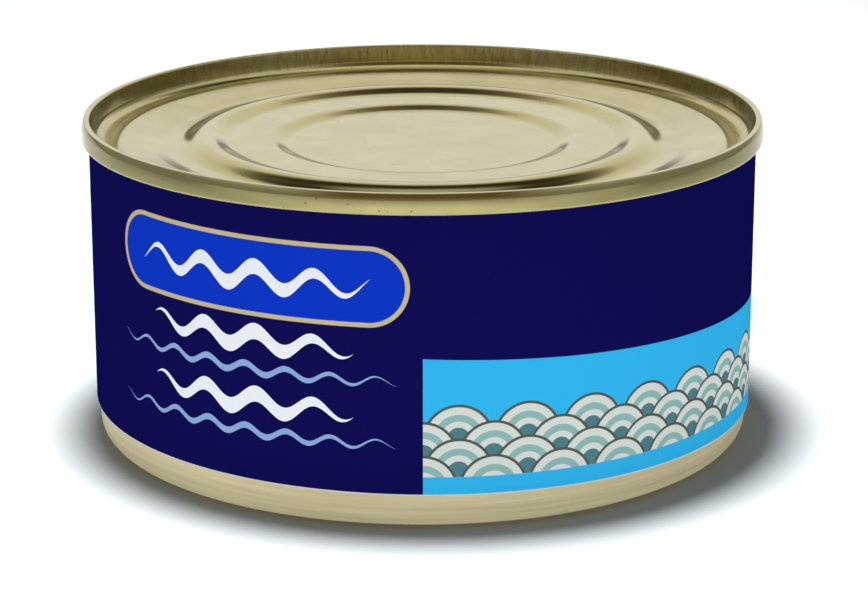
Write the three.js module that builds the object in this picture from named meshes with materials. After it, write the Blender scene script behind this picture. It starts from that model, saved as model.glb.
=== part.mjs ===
// A round food can, shut and full: a drawn tinplate body, the end that is seamed on to it
// and a paper label wrapped round the wall. All sizes are millimetres, +Z is up, and the
// origin is the middle of the foot that the can stands on.
import * as THREE from "three";

// The can as a whole
const CAN_HEIGHT = 40.6;
const BODY_RADIUS = 41.65;
const CIRCLE_SEGMENTS = 72;
const PIECE_GAP = 0.1;

// The double seam that holds the end on the body
const SEAM_RADIUS = 42.75;
const SEAM_HEIGHT = 2.6;
const SEAM_HEM_ROUND = 0.35;
const SEAM_SHOULDER_ROUND = 0.41;
const SEAM_CREST_WIDTH = 0.42;
const SEAM_INNER_ROUND = 0.25;

// The sunk panel of the end: depths are measured down from the top of the seam
const CHUCK_WALL_TAPER = 0.28;
const CHUCK_WALL_DEPTH = 2.0;
const GUTTER_ROUND = 1.32;
const GUTTER_DEPTH = CHUCK_WALL_DEPTH + GUTTER_ROUND;
const END_SLOPES = [
  { outer: 39.7, inner: 37.8, depth: 2.75 }, // up from the gutter to the outer crest
  { outer: 37.7, inner: 31.4, depth: 3.69 }, // the long fall into the valley
  { outer: 30.8, inner: 27.4, depth: 2.55 }, // up to the crest of the expansion bead
  { outer: 27.1, inner: 24.0, depth: 3.3 }, // down to the middle land
  { outer: 19.4, inner: 16.6, depth: 3.92 }, // down to the flat centre
];
const END_DEPTH = 4.6;

// The foot of the body: heights are measured up from the surface that it stands on
const BODY_NECK = 0.25;
const BODY_NECK_TOP = 5.0;
const BODY_CORNER_ROUND = 2.3;
const FOOT_SLOPES = [
  { outer: 37.6, inner: 36.0, height: 0.9 }, // up from the foot ring to the outer land
  { outer: 26.7, inner: 24.3, height: 1.3 }, // up to the middle land
  { outer: 19.0, inner: 16.6, height: 1.7 }, // up to the flat centre
];

// The paper label
const LABEL_BOTTOM = 4.45;
const LABEL_THICKNESS = 0.12;

const SLOPE_STEPS = 5;
const ROUND_STEPS = 4;
const CORNER_STEPS = 6;
const QUARTER = Math.PI / 2;

const goldLacquer = () =>
  new THREE.MeshStandardMaterial({ color: "#c8ba8c", roughness: 0.3, metalness: 0.9 });
const navyPaper = () => new THREE.MeshStandardMaterial({ color: "#110e51", roughness: 0.45, metalness: 0 });

// Points along an arc about a centre, from one angle to another
function arc(centreX, centreY, radius, from, to, steps) {
  const curve = new THREE.EllipseCurve(centreX, centreY, radius, radius, from, to, from > to);
  return curve.getPoints(steps);
}

// Points of a soft slope between two levels, which leaves and meets them level
function slope(startX, startY, endX, endY) {
  const points = [];
  for (let step = 0; step <= SLOPE_STEPS; step += 1) {
    const along = step / SLOPE_STEPS;
    const eased = (1 - Math.cos(Math.PI * along)) / 2;
    points.push(new THREE.Vector2(startX + (endX - startX) * along, startY + (endY - startY) * eased));
  }
  return points;
}

// A profile of radius and height turned about the vertical axis of the can
function turned(name, profile, material) {
  const mesh = new THREE.Mesh(new THREE.LatheGeometry(profile, CIRCLE_SEGMENTS), material);
  mesh.name = name;
  mesh.rotation.x = QUARTER;
  return mesh;
}

// The body: a drawn cup, slightly narrower below the label, with a rounded corner, a foot ring and a
// stepped base, filled up to the end
function canBody() {
  const footRing = BODY_RADIUS - BODY_NECK - BODY_CORNER_ROUND;
  const top = CAN_HEIGHT - END_DEPTH - PIECE_GAP;
  const base = [];
  let level = 0;
  for (const { outer, inner, height } of FOOT_SLOPES) {
    base.push(...slope(outer, level, inner, height));
    level = height;
  }
  const profile = [
    new THREE.Vector2(0, level),
    ...base.reverse(),
    ...arc(footRing, BODY_CORNER_ROUND, BODY_CORNER_ROUND, -QUARTER, 0, CORNER_STEPS),
    new THREE.Vector2(BODY_RADIUS, BODY_NECK_TOP),
    new THREE.Vector2(BODY_RADIUS, top),
    new THREE.Vector2(0, top),
  ];
  return turned("can_body", profile, goldLacquer());
}

// The end: a ringed panel sunk inside the seam, which takes in the rim of the wall that it folds over
function topEnd() {
  const seamFoot = CAN_HEIGHT - SEAM_HEIGHT;
  const hemX = SEAM_RADIUS - SEAM_HEM_ROUND;
  const crestX = SEAM_RADIUS - SEAM_SHOULDER_ROUND;
  const innerX = crestX - SEAM_CREST_WIDTH;
  const wallX = innerX - SEAM_INNER_ROUND;
  const gutterX = wallX - CHUCK_WALL_TAPER - GUTTER_ROUND;
  const gutterY = CAN_HEIGHT - CHUCK_WALL_DEPTH;
  const underside = CAN_HEIGHT - END_DEPTH;
  const shoulderY = CAN_HEIGHT - SEAM_SHOULDER_ROUND;
  const innerY = CAN_HEIGHT - SEAM_INNER_ROUND;
  const panel = [];
  let depth = GUTTER_DEPTH;
  for (const step of END_SLOPES) {
    panel.push(...slope(step.outer, CAN_HEIGHT - depth, step.inner, CAN_HEIGHT - step.depth));
    depth = step.depth;
  }
  const profile = [
    new THREE.Vector2(0, underside),
    new THREE.Vector2(BODY_RADIUS, underside),
    new THREE.Vector2(BODY_RADIUS, seamFoot),
    ...arc(hemX, seamFoot + SEAM_HEM_ROUND, SEAM_HEM_ROUND, -QUARTER, 0, ROUND_STEPS),
    ...arc(crestX, shoulderY, SEAM_SHOULDER_ROUND, 0, QUARTER, ROUND_STEPS),
    ...arc(innerX, innerY, SEAM_INNER_ROUND, QUARTER, 2 * QUARTER, ROUND_STEPS),
    ...arc(gutterX, gutterY, GUTTER_ROUND, 0, -QUARTER, ROUND_STEPS),
    ...panel,
    new THREE.Vector2(0, CAN_HEIGHT - depth),
  ];
  return turned("top_end", profile, goldLacquer());
}

// The label: one sheet of paper wrapped round the wall, from above the corner up to the seam
function label() {
  const inside = BODY_RADIUS + PIECE_GAP;
  const outside = inside + LABEL_THICKNESS;
  const top = CAN_HEIGHT - SEAM_HEIGHT - PIECE_GAP;
  const profile = [
    new THREE.Vector2(inside, LABEL_BOTTOM),
    new THREE.Vector2(outside, LABEL_BOTTOM),
    new THREE.Vector2(outside, top),
    new THREE.Vector2(inside, top),
    new THREE.Vector2(inside, LABEL_BOTTOM),
  ];
  return turned("label", profile, navyPaper());
}

const can = new THREE.Group();
can.add(canBody(), topEnd(), label());

export default can;
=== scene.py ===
import math

import bpy
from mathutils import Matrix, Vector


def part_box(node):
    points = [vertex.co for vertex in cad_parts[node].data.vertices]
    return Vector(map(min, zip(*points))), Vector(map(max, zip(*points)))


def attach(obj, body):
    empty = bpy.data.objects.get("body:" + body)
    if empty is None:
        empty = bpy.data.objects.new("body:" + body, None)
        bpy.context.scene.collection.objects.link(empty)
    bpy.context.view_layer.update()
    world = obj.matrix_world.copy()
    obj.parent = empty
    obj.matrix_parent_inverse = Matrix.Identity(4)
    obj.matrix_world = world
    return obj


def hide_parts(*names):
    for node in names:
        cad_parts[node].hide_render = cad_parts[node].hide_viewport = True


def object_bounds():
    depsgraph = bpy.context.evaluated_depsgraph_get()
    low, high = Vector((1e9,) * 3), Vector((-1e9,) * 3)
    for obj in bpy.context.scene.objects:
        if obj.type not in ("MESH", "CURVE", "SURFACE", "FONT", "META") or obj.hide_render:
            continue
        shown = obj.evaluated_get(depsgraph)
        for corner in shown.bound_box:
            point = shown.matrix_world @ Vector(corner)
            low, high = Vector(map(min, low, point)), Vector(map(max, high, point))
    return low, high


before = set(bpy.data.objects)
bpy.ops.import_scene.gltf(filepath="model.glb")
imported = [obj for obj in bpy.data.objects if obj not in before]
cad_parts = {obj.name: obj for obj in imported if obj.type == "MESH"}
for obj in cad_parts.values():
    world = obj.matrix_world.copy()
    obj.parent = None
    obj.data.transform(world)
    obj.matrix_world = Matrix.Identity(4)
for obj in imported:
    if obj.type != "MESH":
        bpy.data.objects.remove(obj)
cad_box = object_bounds()
scene = bpy.context.scene

# The camera stands a little over a third of a metre in front of the can and looks down on it.
# Its place and lens were worked out from the ellipses of the seam, the label and the foot.
CAMERA_PLACE = (0.0, -0.36034, 0.12163)
CAMERA_DOWN_DEG = 16.375
CAMERA_RIGHT_DEG = 0.229
CAMERA_LENS_MM = 121.4
CAMERA_SENSOR_MM = 36.0
CAMERA_SEES_FROM = 0.01

camera = bpy.data.objects.new("camera", bpy.data.cameras.new("camera"))
camera.location = CAMERA_PLACE
camera.rotation_euler = (math.radians(90 - CAMERA_DOWN_DEG), 0, math.radians(-CAMERA_RIGHT_DEG))
camera.data.lens = CAMERA_LENS_MM
camera.data.sensor_width = CAMERA_SENSOR_MM
camera.data.clip_start = CAMERA_SEES_FROM
scene.collection.objects.link(camera)
scene.camera = camera

# The body is a cup of thin tinplate, drawn from a flat disc that was lacquered gold first. Only a
# band of it shows under the label: the end of the wall, the rounded corner and, from below, the
# foot ring and a base that steps in towards the middle.
MM = 0.001
CAN_HEIGHT = cad_box[1].z
BODY_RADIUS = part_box("can_body")[1].x
BODY_NECK = 0.25 * MM
BODY_NECK_TOP = 5.0 * MM
BODY_CORNER = 2.3 * MM
BODY_CORNER_STEPS = 16
BODY_WALL = 0.25 * MM
BODY_WALL_TOP = CAN_HEIGHT - 2.85 * MM
BODY_FILL_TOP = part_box("can_body")[1].z
FOOT_STEPS = (
    # from radius, to radius, height of the base inside the step
    (37.6 * MM, 36.0 * MM, 0.9 * MM),
    (26.7 * MM, 24.3 * MM, 1.3 * MM),
    (19.0 * MM, 16.6 * MM, 1.7 * MM),
)
TURN_SEGMENTS = 288
TURN_HUB = 1.0 * MM
TURN_JOINS_WITHIN = 0.001 * MM
MOST_OF_NOISE = (0.3, 0.7)
RANGE_SOCKETS = ("Value", "From Min", "From Max", "To Min", "To Max")
GOLD_LACQUER_BODY = "D4C69A"
BODY_METALLIC = 0.25
DRAWING_STREAK = 0.5 * MM
DRAWING_STREAK_DEPTH = 0.01 * MM
DRAWING_STRETCH = (0.03, 0.03, 1.0)
STREAK_SHADE = (0.9, 1.08)
STREAK_ROUGHNESS = (0.5, 0.4)


def linear(hex_colour):
    """The linear colour of an sRGB hex value, with full alpha."""
    shares = [int(hex_colour[i : i + 2], 16) / 255 for i in (0, 2, 4)]
    return [s / 12.92 if s <= 0.04045 else ((s + 0.055) / 1.055) ** 2.4 for s in shares] + [1.0]


def add_node(tree, kind, inputs=(), **settings):
    """Adds a node with its settings. Each input takes a value, an output, or a node for its first output."""
    node = tree.nodes.new(kind)
    for name, value in settings.items():
        setattr(node, name, value)
    for name, value in dict(inputs).items():
        if isinstance(value, bpy.types.Node):
            value = value.outputs[0]
        if isinstance(value, bpy.types.NodeSocket):
            tree.links.new(value, node.inputs[name])
        else:
            node.inputs[name].default_value = value
    return node


def arc(centre, radius, start_deg, end_deg, steps=10):
    """Points of a round stretch of a profile, as (distance from the axis, height)."""
    turns = [math.radians(start_deg + (end_deg - start_deg) * i / steps) for i in range(steps + 1)]
    return [(centre[0] + radius * math.cos(t), centre[1] + radius * math.sin(t)) for t in turns]


def slope(start, end, first=0.36, last=0.36, steps=20):
    """Points of a soft slope between two levels, which leaves and meets them level. First and last are the
    shares of its length that the bends at its two ends take; between them it is straight."""
    points = []
    for i in range(steps + 1):
        along = i / steps
        fallen = along - first / 2
        if along < first:
            fallen = along**2 / (2 * first)
        if along > 1 - last:
            fallen = 1 - first / 2 - last / 2 - (1 - along) ** 2 / (2 * last)
        eased = fallen / (1 - first / 2 - last / 2)
        points.append((start[0] + (end[0] - start[0]) * along, start[1] + (end[1] - start[1]) * eased))
    return points


def turning_tree():
    """A tree that sweeps a profile round the axis of the can and closes it at the axis."""
    tree = bpy.data.node_groups.new("turned sheet", "GeometryNodeTree")
    for name, kind in (
        ("Profile", "NodeSocketGeometry"),
        ("Segments", "NodeSocketInt"),
        ("Hub Radius", "NodeSocketFloat"),
        ("Material", "NodeSocketMaterial"),
    ):
        tree.interface.new_socket(name, in_out="INPUT", socket_type=kind)
    tree.interface.new_socket("Sheet", in_out="OUTPUT", socket_type="NodeSocketGeometry")
    given = add_node(tree, "NodeGroupInput").outputs
    hub = add_node(
        tree,
        "GeometryNodeCurvePrimitiveCircle",
        {"Resolution": given["Segments"], "Radius": given["Hub Radius"]},
    )
    swept = add_node(tree, "GeometryNodeCurveToMesh", {"Curve": hub, "Profile Curve": given["Profile"]})
    closed = add_node(tree, "GeometryNodeMergeByDistance", {"Geometry": swept, "Distance": TURN_JOINS_WITHIN})
    smooth = add_node(tree, "GeometryNodeSetShadeSmooth", {"Geometry": closed})
    whole = add_node(tree, "GeometryNodeRealizeInstances", {"Geometry": smooth})
    dressed = add_node(tree, "GeometryNodeSetMaterial", {"Geometry": whole, "Material": given["Material"]})
    add_node(tree, "NodeGroupOutput", {"Sheet": dressed})
    return tree


def made_by_tree(name, data, tree, sizes):
    """A plain mesh object of what a geometry tree makes from the given data and sizes."""
    source = bpy.data.objects.new(name + "_source", data)
    scene.collection.objects.link(source)
    modifier = source.modifiers.new(tree.name, "NODES")
    modifier.node_group = tree
    for socket in tree.interface.items_tree:
        if socket.in_out == "INPUT" and socket.name in sizes:
            modifier[socket.identifier] = sizes[socket.name]
    evaluated = source.evaluated_get(bpy.context.evaluated_depsgraph_get())
    piece = bpy.data.objects.new(name, bpy.data.meshes.new_from_object(evaluated))
    bpy.data.objects.remove(source)
    scene.collection.objects.link(piece)
    return piece


def turned(name, profile, material):
    """A closed piece turned from a profile that runs from the axis over the top and back underneath."""
    curve = bpy.data.curves.new(name, "CURVE")
    curve.dimensions = "3D"
    line = curve.splines.new("POLY")
    line.points.add(len(profile) - 1)
    for point, (radius, height) in zip(line.points, profile):
        point.co = (radius - TURN_HUB, -height, 0, 1)
    sizes = {"Segments": TURN_SEGMENTS, "Hub Radius": TURN_HUB, "Material": material}
    return made_by_tree(name, curve, turning, sizes)


def drawn_tinplate():
    """Tinplate under gold lacquer, stretched in drawing: the lacquer has gone satin and scatters most of
    the light, so the band looks even, with faint level streaks along the wall."""
    material = bpy.data.materials.new("gold lacquered tinplate, drawn")
    material.use_nodes = True
    tree = material.node_tree
    shader = tree.nodes["Principled BSDF"]
    shader.inputs["Metallic"].default_value = BODY_METALLIC
    place = add_node(tree, "ShaderNodeTexCoord").outputs["Object"]
    level = add_node(tree, "ShaderNodeMapping", {"Vector": place, "Scale": DRAWING_STRETCH})
    streaks = add_node(
        tree, "ShaderNodeTexNoise", {"Vector": level, "Scale": 1 / DRAWING_STREAK, "Detail": 3.0}
    ).outputs["Fac"]
    shade = add_node(
        tree,
        "ShaderNodeMapRange",
        dict(zip(RANGE_SOCKETS, (streaks, *MOST_OF_NOISE, *STREAK_SHADE))),
    )
    colour = add_node(
        tree,
        "ShaderNodeVectorMath",
        {0: linear(GOLD_LACQUER_BODY)[:3], "Scale": shade.outputs["Result"]},
        operation="SCALE",
    )
    rough = add_node(
        tree,
        "ShaderNodeMapRange",
        dict(zip(RANGE_SOCKETS, (streaks, *MOST_OF_NOISE, *STREAK_ROUGHNESS))),
    )
    bump = add_node(
        tree, "ShaderNodeBump", {"Height": streaks, "Strength": 0.4, "Distance": DRAWING_STREAK_DEPTH}
    )
    tree.links.new(colour.outputs["Vector"], shader.inputs["Base Color"])
    tree.links.new(rough.outputs["Result"], shader.inputs["Roughness"])
    tree.links.new(bump.outputs["Normal"], shader.inputs["Normal"])
    return material


turning = turning_tree()
foot_ring = BODY_RADIUS - BODY_NECK - BODY_CORNER
base = []
height = 0.0
for outer, inner, inside_height in FOOT_STEPS:
    base += slope((outer, height), (inner, inside_height))
    height = inside_height
body = turned(
    "drawn_body",
    [
        (0, BODY_FILL_TOP),
        (BODY_RADIUS - BODY_WALL, BODY_FILL_TOP),
        (BODY_RADIUS - BODY_WALL, BODY_WALL_TOP),
        (BODY_RADIUS, BODY_WALL_TOP),
        (BODY_RADIUS, BODY_NECK_TOP),
        *arc((foot_ring, BODY_CORNER), BODY_CORNER, 0, -90, BODY_CORNER_STEPS),
        *base,
        (0, height),
    ],
    drawn_tinplate(),
)
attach(body, "root")
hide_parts("can_body")

# The end is a disc of lacquered tinplate, pressed into rings that let the can swell and sink when it
# is cooked. Its rim is folded twice with the rim of the wall into the double seam.
SEAM_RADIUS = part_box("top_end")[1].x
SEAM_HEIGHT = 2.6 * MM
SEAM_FOOT = CAN_HEIGHT - SEAM_HEIGHT
SEAM_HEM = 0.35 * MM
SEAM_ROLL = (
    # radius of a bend, and the degrees above level that it faces from and to, crest first
    (0.12 * MM, 90, 23),
    (4.6 * MM, 23, 14),
    (0.3 * MM, 14, 6),
    (12.0 * MM, 6, 0),
)
SEAM_CREST = 0.42 * MM
SEAM_INNER = 0.25 * MM
CHUCK_WALL_TAPER = 0.28 * MM
CHUCK_WALL_DEPTH = 1.985 * MM
CHUCK_WALL_FOOT = CAN_HEIGHT - CHUCK_WALL_DEPTH
GUTTER_ROLL = (
    # radius of a hollow bend, and the degrees from its middle that it starts and ends at, wall first
    (1.1 * MM, 0, -52),
    (2.2 * MM, -52, -90),
)
END_STEPS = (
    # from radius, to radius, depth of the panel inside the step below the top of the seam, and the
    # shares of the step that the bends at its outer and inner end take
    (39.6 * MM, 37.8 * MM, 2.75 * MM, 0.36, 0.36),
    (37.8 * MM, 34.2 * MM, 3.26 * MM, 0.1, 0.0),
    (34.2 * MM, 31.4 * MM, 3.69 * MM, 0.0, 0.5),
    (30.8 * MM, 27.4 * MM, 2.55 * MM, 0.45, 0.45),
    (27.1 * MM, 24.0 * MM, 3.3 * MM, 0.36, 0.36),
    (19.4 * MM, 16.6 * MM, 3.92 * MM, 0.36, 0.36),
)
PIECE_GAP = 0.1 * MM
END_PLUG = BODY_RADIUS - BODY_WALL - PIECE_GAP
END_UNDERSIDE = BODY_FILL_TOP + PIECE_GAP
GOLD_LACQUER_END = "B9AE78"
CLOUD = 5.0 * MM
CLOUD_SHADE = (0.95, 1.04)
CLOUD_ROUGHNESS = (0.17, 0.12)
ROLLING_LINE = 0.3 * MM
ROLLING_LINE_DEPTH = 0.004 * MM
ROLLING_STRETCH = (0.05, 1.0, 1.0)
SPECK_SPACING = 1.2 * MM
SPECK_RADIUS = 0.15 * MM
SPECK_LOTS = (0.3, 1.0)
SPECK_SHADE = -0.5
SCRATCH = 0.35 * MM
SCRATCH_STRETCH = (1.0, 1.0, 0.04)
SCRATCH_SHADE = (-0.22, 0.14)
SCRATCHED_RADIUS = 41.6 * MM
SCRATCHED_WITHIN = 0.35 * MM


def bends(start, turns):
    """Points of a profile that runs on from a point through bends, each as (radius, from and to degrees)."""
    points = [start]
    for radius, start_deg, end_deg in turns:
        turn = math.radians(start_deg)
        centre = (points[-1][0] - radius * math.cos(turn), points[-1][1] - radius * math.sin(turn))
        points += arc(centre, radius, start_deg, end_deg)[1:]
    return points


def pressed_tinplate():
    """Tinplate under gold lacquer, pressed: a bright, slightly cloudy gold with faint lines from the
    rolling mill, small dark specks where the lacquer was nicked, and upright scratches inside the seam."""
    material = bpy.data.materials.new("gold lacquered tinplate, pressed")
    material.use_nodes = True
    tree = material.node_tree
    shader = tree.nodes["Principled BSDF"]
    shader.inputs["Metallic"].default_value = 1.0
    place = add_node(tree, "ShaderNodeTexCoord").outputs["Object"]
    clouds = add_node(
        tree, "ShaderNodeTexNoise", {"Vector": place, "Scale": 1 / CLOUD, "Detail": 4.0}
    ).outputs["Fac"]
    along = add_node(tree, "ShaderNodeMapping", {"Vector": place, "Scale": ROLLING_STRETCH})
    rolling = add_node(
        tree, "ShaderNodeTexNoise", {"Vector": along, "Scale": 1 / ROLLING_LINE, "Detail": 2.0}
    ).outputs["Fac"]
    cells = add_node(tree, "ShaderNodeTexVoronoi", {"Vector": place, "Scale": 1 / SPECK_SPACING})
    lot = add_node(tree, "ShaderNodeSeparateColor", {"Color": cells.outputs["Color"]}).outputs["Red"]
    size = add_node(
        tree,
        "ShaderNodeMapRange",
        dict(zip(RANGE_SOCKETS, (lot, *SPECK_LOTS, 0.0, SPECK_RADIUS / SPECK_SPACING))),
    )
    speck = add_node(
        tree, "ShaderNodeMath", {0: cells.outputs["Distance"], 1: size}, operation="LESS_THAN"
    )
    cloudy = add_node(
        tree,
        "ShaderNodeMapRange",
        dict(zip(RANGE_SOCKETS, (clouds, *MOST_OF_NOISE, *CLOUD_SHADE))),
    )
    upright = add_node(tree, "ShaderNodeMapping", {"Vector": place, "Scale": SCRATCH_STRETCH})
    scratches = add_node(
        tree, "ShaderNodeTexNoise", {"Vector": upright, "Scale": 1 / SCRATCH, "Detail": 3.0}
    ).outputs["Fac"]
    level_place = add_node(tree, "ShaderNodeVectorMath", {0: place, 1: (1, 1, 0)}, operation="MULTIPLY")
    from_axis = add_node(tree, "ShaderNodeVectorMath", {0: level_place}, operation="LENGTH").outputs["Value"]
    on_wall = add_node(
        tree, "ShaderNodeMath", {0: from_axis, 1: SCRATCHED_RADIUS, 2: SCRATCHED_WITHIN}, operation="COMPARE"
    )
    scratched = add_node(
        tree,
        "ShaderNodeMapRange",
        dict(zip(RANGE_SOCKETS, (scratches, *MOST_OF_NOISE, *SCRATCH_SHADE))),
    )
    worn = add_node(tree, "ShaderNodeMath", {0: scratched, 1: on_wall, 2: cloudy}, operation="MULTIPLY_ADD")
    shade = add_node(tree, "ShaderNodeMath", {0: speck, 1: SPECK_SHADE, 2: worn}, operation="MULTIPLY_ADD")
    colour = add_node(
        tree, "ShaderNodeVectorMath", {0: linear(GOLD_LACQUER_END)[:3], "Scale": shade}, operation="SCALE"
    )
    rough = add_node(
        tree,
        "ShaderNodeMapRange",
        dict(zip(RANGE_SOCKETS, (clouds, *MOST_OF_NOISE, *CLOUD_ROUGHNESS))),
    )
    bump = add_node(
        tree, "ShaderNodeBump", {"Height": rolling, "Strength": 0.3, "Distance": ROLLING_LINE_DEPTH}
    )
    tree.links.new(colour.outputs["Vector"], shader.inputs["Base Color"])
    tree.links.new(rough.outputs["Result"], shader.inputs["Roughness"])
    tree.links.new(bump.outputs["Normal"], shader.inputs["Normal"])
    return material


rolled = bends((0, CAN_HEIGHT), SEAM_ROLL)
crest = SEAM_RADIUS - rolled[-1][0]
inner_crest = crest - SEAM_CREST
chuck_wall = inner_crest - SEAM_INNER
gutter = bends((chuck_wall - CHUCK_WALL_TAPER, CHUCK_WALL_FOOT), GUTTER_ROLL)
panel = []
level = gutter[-1][1]
for outer, inner, depth, first, last in END_STEPS:
    panel += slope((outer, level), (inner, CAN_HEIGHT - depth), first, last)
    level = CAN_HEIGHT - depth
gold_end = pressed_tinplate()
end = turned(
    "seamed_end",
    [
        (0, level),
        *reversed(panel),
        *reversed(gutter),
        *arc((inner_crest, CAN_HEIGHT - SEAM_INNER), SEAM_INNER, 180, 90),
        *[(crest + out, height) for out, height in rolled],
        *arc((SEAM_RADIUS - SEAM_HEM, SEAM_FOOT + SEAM_HEM), SEAM_HEM, 0, -90),
        (END_PLUG, SEAM_FOOT),
        (END_PLUG, END_UNDERSIDE),
        (0, END_UNDERSIDE),
    ],
    gold_end,
)
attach(end, "root")
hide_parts("top_end")

# The upright marks that the seaming chuck leaves round the inside of the seam. They are low ridges of
# the same lacquered tinplate, set round the wall at slightly uneven heights and lengths.
MARK_COUNT = 640
MARK_SIZE = (0.018 * MM, 0.08 * MM, 0.7 * MM)
MARK_UNEVEN = (0.0, 0.0, 0.2 * MM)
MARK_SCALE_LEAST = (0.2, 0.5, 0.6)
MARK_SCALE_MOST = (1.0, 1.2, 1.1)
MARK_SEED = 7


def marks_tree():
    """A tree that sets ridges round a circle, each turned to face the axis and leant with the wall."""
    tree = bpy.data.node_groups.new("upright marks", "GeometryNodeTree")
    for name, kind in (
        ("Start", "NodeSocketGeometry"),
        ("Count", "NodeSocketInt"),
        ("Radius", "NodeSocketFloat"),
        ("Height", "NodeSocketFloat"),
        ("Lean", "NodeSocketFloat"),
        ("Size", "NodeSocketVector"),
        ("Uneven", "NodeSocketVector"),
        ("Scale Least", "NodeSocketVector"),
        ("Scale Most", "NodeSocketVector"),
        ("Seed", "NodeSocketInt"),
        ("Material", "NodeSocketMaterial"),
    ):
        tree.interface.new_socket(name, in_out="INPUT", socket_type=kind)
    tree.interface.new_socket("Marks", in_out="OUTPUT", socket_type="NodeSocketGeometry")
    given = add_node(tree, "NodeGroupInput").outputs
    circle = add_node(
        tree, "GeometryNodeMeshCircle", {"Vertices": given["Count"], "Radius": given["Radius"]}
    )
    down = add_node(tree, "ShaderNodeVectorMath", {0: given["Uneven"], "Scale": -1.0}, operation="SCALE")
    shift = add_node(
        tree,
        "FunctionNodeRandomValue",
        {"Min": down.outputs["Vector"], "Max": given["Uneven"], "Seed": given["Seed"]},
        data_type="FLOAT_VECTOR",
    )
    lift = add_node(tree, "ShaderNodeCombineXYZ", {"Z": given["Height"]})
    place = add_node(tree, "ShaderNodeVectorMath", {0: lift, 1: shift.outputs["Value"]}, operation="ADD")
    points = add_node(tree, "GeometryNodeSetPosition", {"Geometry": circle, "Offset": place})
    ball = add_node(tree, "GeometryNodeMeshIcoSphere", {"Radius": 1.0, "Subdivisions": 2})
    lean = add_node(tree, "ShaderNodeCombineXYZ", {"Y": given["Lean"]})
    ridge = add_node(
        tree,
        "GeometryNodeTransform",
        {"Geometry": ball.outputs["Mesh"], "Rotation": lean, "Scale": given["Size"]},
    )
    where = add_node(tree, "GeometryNodeInputPosition")
    outward = add_node(tree, "ShaderNodeVectorMath", {0: where, 1: (1.0, 1.0, 0.0)}, operation="MULTIPLY")
    facing = add_node(
        tree, "FunctionNodeAlignRotationToVector", {"Vector": outward}, axis="X", pivot_axis="Z"
    )
    stretch = add_node(
        tree,
        "FunctionNodeRandomValue",
        {"Min": given["Scale Least"], "Max": given["Scale Most"], "Seed": given["Seed"]},
        data_type="FLOAT_VECTOR",
    )
    ridges = add_node(
        tree,
        "GeometryNodeInstanceOnPoints",
        {"Points": points, "Instance": ridge, "Rotation": facing, "Scale": stretch.outputs["Value"]},
    )
    whole = add_node(tree, "GeometryNodeRealizeInstances", {"Geometry": ridges})
    smooth = add_node(tree, "GeometryNodeSetShadeSmooth", {"Geometry": whole})
    dressed = add_node(tree, "GeometryNodeSetMaterial", {"Geometry": smooth, "Material": given["Material"]})
    add_node(tree, "NodeGroupOutput", {"Marks": dressed})
    return tree


wall_rise = CAN_HEIGHT - SEAM_INNER - CHUCK_WALL_FOOT
marks = made_by_tree(
    "chuck_marks",
    bpy.data.meshes.new("chuck_marks_start"),
    marks_tree(),
    {
        "Count": MARK_COUNT,
        "Radius": chuck_wall - CHUCK_WALL_TAPER / 2,
        "Height": CHUCK_WALL_FOOT + wall_rise / 2,
        "Lean": math.atan(CHUCK_WALL_TAPER / wall_rise),
        "Size": MARK_SIZE,
        "Uneven": MARK_UNEVEN,
        "Scale Least": MARK_SCALE_LEAST,
        "Scale Most": MARK_SCALE_MOST,
        "Seed": MARK_SEED,
        "Material": gold_end,
    },
)
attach(marks, "root")

# The label is one sheet of paper, printed and varnished, wrapped round the wall and glued where its
# ends lap at the back. The print is flat ink: a navy field with a plate and wavy strokes, and a light
# blue panel with a frieze of scallops. It repeats after half a turn.
LABEL_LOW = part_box("label")[0].z
LABEL_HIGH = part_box("label")[1].z
LABEL_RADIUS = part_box("label")[1].x
LABEL_PAPER = 0.1 * MM
LABEL_LAP = 7.0 * MM
LABEL_LAP_RISE = 4.0 * MM
LABEL_LAP_LIFT = 1.2 * LABEL_PAPER
LABEL_SKEW = 0.29 * MM
LABEL_COLUMNS = 384
LABEL_ROWS = 10
LABEL_SHARP_DEG = 40
PAPER_GRAIN = 0.15 * MM
PAPER_GRAIN_DEPTH = 0.01 * MM
PAPER_ROUGHNESS = (0.6, 0.72)
FOOT_LINE_WHITE = "DDD6CC"
INK_NAVY = "110E51"
INK_LIGHT_BLUE = "33B6EE"
INK_BRIGHT_BLUE = "0F37C3"
INK_CHAMPAGNE = "C9B98F"
INK_WHITE = "EEF0F4"
INK_PALE_BLUE = "8CAAD7"
INK_SLATE = "5A5A52"
INK_DEEP_SAGE = "4F7F86"
INK_SAGE = "8FB9B4"
INK_CHALK = "D9DDD6"
# Places of the print are millimetres round the wall from the middle of the front, and up from the foot
WHITE_FOOT_LINE = 0.12
PANEL_TOP = 21.0
PANEL_FALL = 0.0355
PLATE_PLACE = (-22.0, 29.4)
PLATE_SIZE = (40.0, 8.5)
PLATE_KEYLINE = 0.55
STROKES = (
    # place of the middle, width, thickness, height of a crest, length of a wave, ink
    ((-22.0, 29.4), 32.0, 1.9, 1.2, 7.5, INK_WHITE),
    ((-22.0, 21.8), 28.0, 2.0, 1.0, 7.3, INK_WHITE),
    ((-23.0, 18.2), 40.0, 0.8, 0.55, 5.4, INK_PALE_BLUE),
    ((-22.0, 14.2), 28.0, 2.0, 1.0, 7.3, INK_WHITE),
    ((-23.0, 10.6), 40.0, 0.8, 0.55, 5.4, INK_PALE_BLUE),
)
SCALLOPS_ACROSS = 8
SCALLOP_ROWS = 4
SCALLOP_TOP_ROW = 11.4
FRIEZE_LOW = 6.7
SCALLOP_RINGS = (
    # share of the radius, ink
    (1.0, INK_SLATE),
    (0.92, INK_CHALK),
    (0.7, INK_SAGE),
    (0.5, INK_CHALK),
    (0.32, INK_DEEP_SAGE),
)


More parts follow.
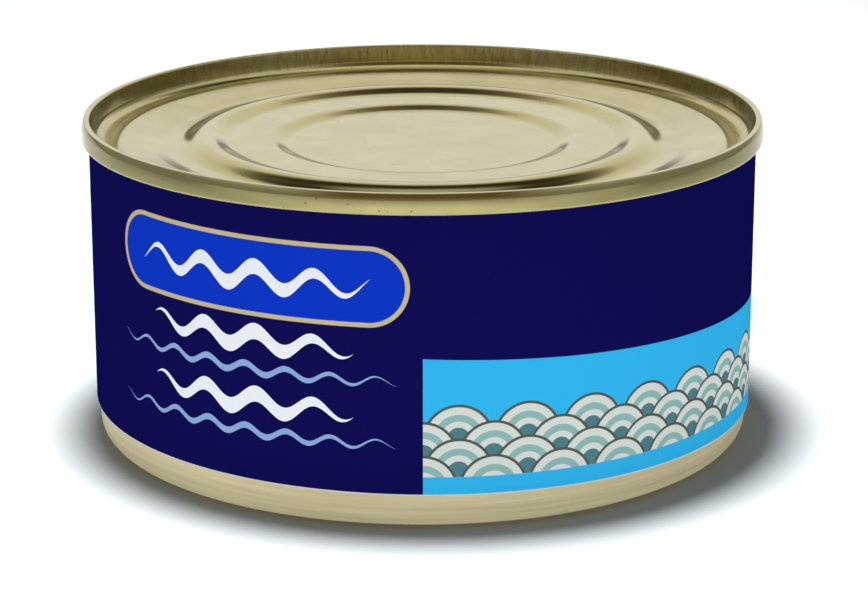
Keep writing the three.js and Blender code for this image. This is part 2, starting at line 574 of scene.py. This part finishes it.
def printed_paper():
    """Varnished paper under flat printing ink: even colour and hardly any shine, with a faint grain."""
    material = bpy.data.materials.new("printed label paper")
    material.use_nodes = True
    tree = material.node_tree
    shader = tree.nodes["Principled BSDF"]
    shader.inputs["Specular IOR Level"].default_value = 0.0
    half_turn_mm = math.pi * LABEL_RADIUS / MM
    far = 1000.0
    sheet_place = add_node(tree, "ShaderNodeUVMap", uv_map="print")
    place = add_node(
        tree,
        "ShaderNodeVectorMath",
        {0: sheet_place, 1: (half_turn_mm / 2, far, far), 2: (-half_turn_mm / 2, -far, -far)},
        operation="WRAP",
    )
    run = add_node(tree, "ShaderNodeSeparateXYZ", {"Vector": place})

    layers = []
    scallop = half_turn_mm / 4 / SCALLOPS_ACROSS
    for row in range(SCALLOP_ROWS):
        middle = (scallop * (row + 1), SCALLOP_TOP_ROW - row * scallop / 2, 0)
        own = add_node(tree, "ShaderNodeVectorMath", {0: place, 1: middle}, operation="SUBTRACT")
        folded = add_node(
            tree,
            "ShaderNodeVectorMath",
            {0: own, 1: (scallop, far, far), 2: (-scallop, -far, -far)},
            operation="WRAP",
        )
        away = add_node(tree, "ShaderNodeVectorMath", {0: folded}, operation="LENGTH").outputs["Value"]
        for share, ink in SCALLOP_RINGS:
            inside = add_node(tree, "ShaderNodeMath", {0: away, 1: share * scallop}, operation="LESS_THAN")
            layers.append((inside, ink))
    below = add_node(tree, "ShaderNodeMath", {0: run.outputs["Y"], 1: FRIEZE_LOW}, operation="LESS_THAN")
    layers.append((below, INK_LIGHT_BLUE))
    panel_line = add_node(
        tree,
        "ShaderNodeMath",
        {0: run.outputs["X"], 1: -PANEL_FALL, 2: PANEL_TOP},
        operation="MULTIPLY_ADD",
    )
    above = add_node(tree, "ShaderNodeMath", {0: run.outputs["Y"], 1: panel_line}, operation="GREATER_THAN")
    beside = add_node(tree, "ShaderNodeMath", {0: run.outputs["X"], 1: 0.0}, operation="LESS_THAN")
    layers += [(above, INK_NAVY), (beside, INK_NAVY)]

    reach = (PLATE_SIZE[0] - PLATE_SIZE[1]) / 2
    own = add_node(tree, "ShaderNodeVectorMath", {0: place, 1: (*PLATE_PLACE, 0)}, operation="SUBTRACT")
    folded = add_node(tree, "ShaderNodeVectorMath", {0: own}, operation="ABSOLUTE")
    past = add_node(tree, "ShaderNodeVectorMath", {0: folded, 1: (reach, 0, 0)}, operation="SUBTRACT")
    outside = add_node(tree, "ShaderNodeVectorMath", {0: past, 1: (0, 0, 0)}, operation="MAXIMUM")
    away = add_node(tree, "ShaderNodeVectorMath", {0: outside}, operation="LENGTH").outputs["Value"]
    for grow, ink in ((PLATE_KEYLINE, INK_CHAMPAGNE), (0.0, INK_BRIGHT_BLUE)):
        reached = PLATE_SIZE[1] / 2 + grow
        layers.append((add_node(tree, "ShaderNodeMath", {0: away, 1: reached}, operation="LESS_THAN"), ink))

    for middle, width, thickness, crest_height, wave_length, ink in STROKES:
        own = add_node(tree, "ShaderNodeVectorMath", {0: place, 1: (*middle, 0)}, operation="SUBTRACT")
        from_middle = add_node(tree, "ShaderNodeSeparateXYZ", {"Vector": own}).outputs
        phase = add_node(
            tree, "ShaderNodeMath", {0: from_middle["X"], 1: 2 * math.pi / wave_length}, operation="MULTIPLY"
        )
        swing = add_node(tree, "ShaderNodeMath", {0: phase}, operation="SINE")
        line = add_node(tree, "ShaderNodeMath", {0: swing, 1: crest_height}, operation="MULTIPLY")
        share = add_node(tree, "ShaderNodeMath", {0: from_middle["X"], 1: 2 / width}, operation="MULTIPLY")
        bow = add_node(tree, "ShaderNodeMath", {0: share, 1: share}, operation="MULTIPLY")
        half = add_node(
            tree, "ShaderNodeMath", {0: bow, 1: -thickness / 2, 2: thickness / 2}, operation="MULTIPLY_ADD"
        )
        on_line = add_node(
            tree, "ShaderNodeMath", {0: from_middle["Y"], 1: line, 2: half}, operation="COMPARE"
        )
        layers.append((on_line, ink))
    # A thin white line is laid along the foot of the label.
    white_foot_top = LABEL_LOW / MM + WHITE_FOOT_LINE
    white_foot = add_node(tree, "ShaderNodeMath", {0: run.outputs["Y"], 1: white_foot_top}, operation="LESS_THAN")
    layers.append((white_foot, FOOT_LINE_WHITE))

    ink_colour = linear(INK_LIGHT_BLUE)
    for mask, ink in layers:
        laid = add_node(tree, "ShaderNodeMix", {0: mask, 6: ink_colour, 7: linear(ink)}, data_type="RGBA")
        ink_colour = laid.outputs[2]
    tree.links.new(ink_colour, shader.inputs["Base Color"])
    solid_place = add_node(tree, "ShaderNodeTexCoord").outputs["Object"]
    grain = add_node(
        tree, "ShaderNodeTexNoise", {"Vector": solid_place, "Scale": 1 / PAPER_GRAIN, "Detail": 2.0}
    ).outputs["Fac"]
    rough = add_node(
        tree,
        "ShaderNodeMapRange",
        dict(zip(RANGE_SOCKETS, (grain, *MOST_OF_NOISE, *PAPER_ROUGHNESS))),
    )
    bump = add_node(
        tree, "ShaderNodeBump", {"Height": grain, "Strength": 0.15, "Distance": PAPER_GRAIN_DEPTH}
    )
    tree.links.new(rough.outputs["Result"], shader.inputs["Roughness"])
    tree.links.new(bump.outputs["Normal"], shader.inputs["Normal"])
    return material


half_turn = math.pi * LABEL_RADIUS
length = 2 * half_turn + LABEL_LAP
section = 2 * (LABEL_ROWS + 1)
corners = []
flat_places = []
for column in range(LABEL_COLUMNS + 1):
    run = length * column / LABEL_COLUMNS - half_turn
    rise = max(0.0, min(1.0, (run - half_turn + LABEL_LAP_RISE) / LABEL_LAP_RISE))
    outside = LABEL_RADIUS + LABEL_LAP_LIFT * rise * rise * (3 - 2 * rise)
    turn = run / LABEL_RADIUS
    low = LABEL_LOW - LABEL_SKEW * math.sin(turn)
    climb = [(LABEL_HIGH - low) * row / LABEL_ROWS for row in range(LABEL_ROWS + 1)]
    face_points = [(outside, up) for up in climb]
    back_points = [(outside - LABEL_PAPER, up) for up in reversed(climb)]
    for radius, up in face_points + back_points:
        corners.append((radius * math.sin(turn), -radius * math.cos(turn), low + up))
        flat_places.append((run / MM, (LABEL_LOW + up) / MM))
faces = []
for column in range(LABEL_COLUMNS):
    for step in range(section):
        here = column * section + step
        beyond = column * section + (step + 1) % section
        faces.append((here, here + section, beyond + section, beyond))
last_column = LABEL_COLUMNS * section
for row in range(LABEL_ROWS):
    cut = (row, row + 1, section - 2 - row, section - 1 - row)
    faces.append(cut)
    faces.append([last_column + point for point in reversed(cut)])
sheet = bpy.data.meshes.new("paper_label")
sheet.from_pydata(corners, [], faces)
sheet.shade_smooth()
sheet.set_sharp_from_angle(angle=math.radians(LABEL_SHARP_DEG))
flat_sheet = sheet.uv_layers.new(name="print")
for loop in sheet.loops:
    flat_sheet.data[loop.index].uv = flat_places[loop.vertex_index]
sheet.materials.append(printed_paper())
label = bpy.data.objects.new("paper_label", sheet)
scene.collection.objects.link(label)
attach(label, "root")
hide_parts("label")

# The studio: a pale floor that glows in front of the can and behind it and is dimmer at the sides, a
# bright wall behind the can, a bright ceiling with a dark gap between the two, a small softbox overhead,
# and broad soft lamps for the light from the front and from the floor.
FLOOR_HALF = 2.0
FLOOR_ROUGHNESS = 0.9
FLOOR_TINT = (0.94, 1.0, 1.03)
FLOOR_GREY = 0.27
FLOOR_SIDE_GREY = 0.19
FLOOR_SIDES = (0.07, 0.15)
FLOOR_GLOW = 0.42
FLOOR_GLOW_AWAY = (0.08, 0.25)
SOFTBOX_PLACE = (-0.0155, 0.0, 0.44)
SOFTBOX_SIZE = 0.085
SOFTBOX_POWER = 7.4
LAMPS = (
    # name, height in degrees, spread in degrees, strength: the second is what a bright floor throws back
    ("front_lamp", -5, 60, 0.6),
    ("floor_light", -65, 60, 2.6),
)
LAMP_TINT = (0.95, 1.0, 1.08)
SKY = (
    # degrees up and over from the wall behind the can, brightness, tint
    (0, 0.35, "FFFFFF"),
    (5, 0.35, "FFFFFF"),
    (8, 1.05, "FFFFFF"),
    (38, 1.0, "FFFFFF"),
    (46, 0.3, "FFF2DC"),
    (52, 0.06, "E6C88C"),
    (68, 0.06, "E6C88C"),
    (78, 0.85, "FBFDFF"),
    (106, 0.95, "FBFDFF"),
    (117, 0.19, "F0D8A8"),
    (160, 0.19, "F0D8A8"),
    (166, 0.42, "FFEBCB"),
    (180, 0.42, "FFEBCB"),
)
SIDE_SKY = (
    # height in the sky as a share of the whole, brightness, tint
    (0.0, 0.33, "FBFDFF"),
    (0.3, 0.33, "FBFDFF"),
    (0.55, 0.8, "FBFDFF"),
    (1.0, 0.95, "FBFDFF"),
)
SIDES_OF_SKY = (0.35, 0.75)

floor_mesh = bpy.data.meshes.new("floor")
floor_corners = [(-1, -1), (1, -1), (1, 1), (-1, 1)]
floor_mesh.from_pydata([(x * FLOOR_HALF, y * FLOOR_HALF, 0) for x, y in floor_corners], [], [(0, 1, 2, 3)])
floor = bpy.data.objects.new("floor", floor_mesh)
pale = bpy.data.materials.new("pale floor")
pale.use_nodes = True
tree = pale.node_tree
shader = tree.nodes["Principled BSDF"]
shader.inputs["Roughness"].default_value = FLOOR_ROUGHNESS
shader.inputs["Specular IOR Level"].default_value = 0.0
shader.inputs["Emission Color"].default_value = (1, 1, 1, 1)
place = add_node(tree, "ShaderNodeTexCoord").outputs["Object"]
floor_place = add_node(tree, "ShaderNodeSeparateXYZ", {"Vector": place}).outputs
aside = add_node(tree, "ShaderNodeMath", {0: floor_place["X"]}, operation="ABSOLUTE")
# Painted shade: the floor's own colour is darker at the sides, standing in for light that falls off there.
# Painted glow: the floor's emission rises away from the can, in front of it and behind it.
grey = add_node(
    tree,
    "ShaderNodeMapRange",
    dict(zip(RANGE_SOCKETS, (aside, *FLOOR_SIDES, FLOOR_GREY, FLOOR_SIDE_GREY))),
    interpolation_type="SMOOTHSTEP",
)
away = add_node(tree, "ShaderNodeMath", {0: floor_place["Y"]}, operation="ABSOLUTE")
glow = add_node(
    tree,
    "ShaderNodeMapRange",
    dict(zip(RANGE_SOCKETS, (away, *FLOOR_GLOW_AWAY, 0.0, FLOOR_GLOW))),
    interpolation_type="SMOOTHSTEP",
)
floor_colour = add_node(tree, "ShaderNodeVectorMath", {0: FLOOR_TINT, "Scale": grey}, operation="SCALE")
tree.links.new(floor_colour.outputs["Vector"], shader.inputs["Base Color"])
tree.links.new(glow.outputs["Result"], shader.inputs["Emission Strength"])
floor_mesh.materials.append(pale)
floor.visible_shadow = False
scene.collection.objects.link(floor)

world = bpy.data.worlds.new("studio")
world.use_nodes = True
scene.world = world
tree = world.node_tree
toward = add_node(tree, "ShaderNodeTexCoord").outputs["Generated"]
parts = add_node(tree, "ShaderNodeSeparateXYZ", {"Vector": toward})
over = add_node(
    tree, "ShaderNodeMath", {0: parts.outputs["Z"], 1: parts.outputs["Y"]}, operation="ARCTAN2"
)
share = add_node(tree, "ShaderNodeMath", {0: over, 1: math.pi}, operation="DIVIDE")
middle = add_node(tree, "ShaderNodeValToRGB", {"Fac": share})
sides = add_node(tree, "ShaderNodeValToRGB", {"Fac": parts.outputs["Z"]})
for ramp, whole, bands in ((middle, 180, SKY), (sides, 1, SIDE_SKY)):
    stops = ramp.color_ramp.elements
    stops[1].position = 1.0
    for height, brightness, tint in bands:
        stop = stops[0] if height == 0 else stops[-1] if height == whole else stops.new(height / whole)
        stop.color = [brightness * part for part in linear(tint)[:3]] + [1]
aside = add_node(tree, "ShaderNodeMath", {0: parts.outputs["X"]}, operation="ABSOLUTE")
turned_aside = add_node(
    tree,
    "ShaderNodeMapRange",
    dict(zip(RANGE_SOCKETS, (aside, *SIDES_OF_SKY))),
    interpolation_type="SMOOTHSTEP",
)
sky = add_node(tree, "ShaderNodeMix", {0: turned_aside, 6: middle, 7: sides}, data_type="RGBA").outputs[2]
above = add_node(tree, "ShaderNodeMath", {0: parts.outputs["Z"], 1: 0.0}, operation="GREATER_THAN")
background = tree.nodes["Background"]
tree.links.new(sky, background.inputs["Color"])
tree.links.new(above.outputs["Value"], background.inputs["Strength"])

softbox = bpy.data.objects.new("softbox", bpy.data.lights.new("softbox", "AREA"))
softbox.data.shape = "DISK"
softbox.data.size = SOFTBOX_SIZE
softbox.data.energy = SOFTBOX_POWER
softbox.location = SOFTBOX_PLACE
lamps = [softbox]
for name, height_deg, spread_deg, strength in LAMPS:
    lamp = bpy.data.objects.new(name, bpy.data.lights.new(name, "SUN"))
    lamp.data.energy = strength
    lamp.data.color = LAMP_TINT
    lamp.data.angle = math.radians(spread_deg)
    lamp.rotation_euler = (math.radians(90 - height_deg), 0, 0)
    lamps.append(lamp)
for lamp in lamps:
    lamp.visible_glossy = False
    scene.collection.objects.link(lamp)
scene.view_settings.view_transform = "Standard"
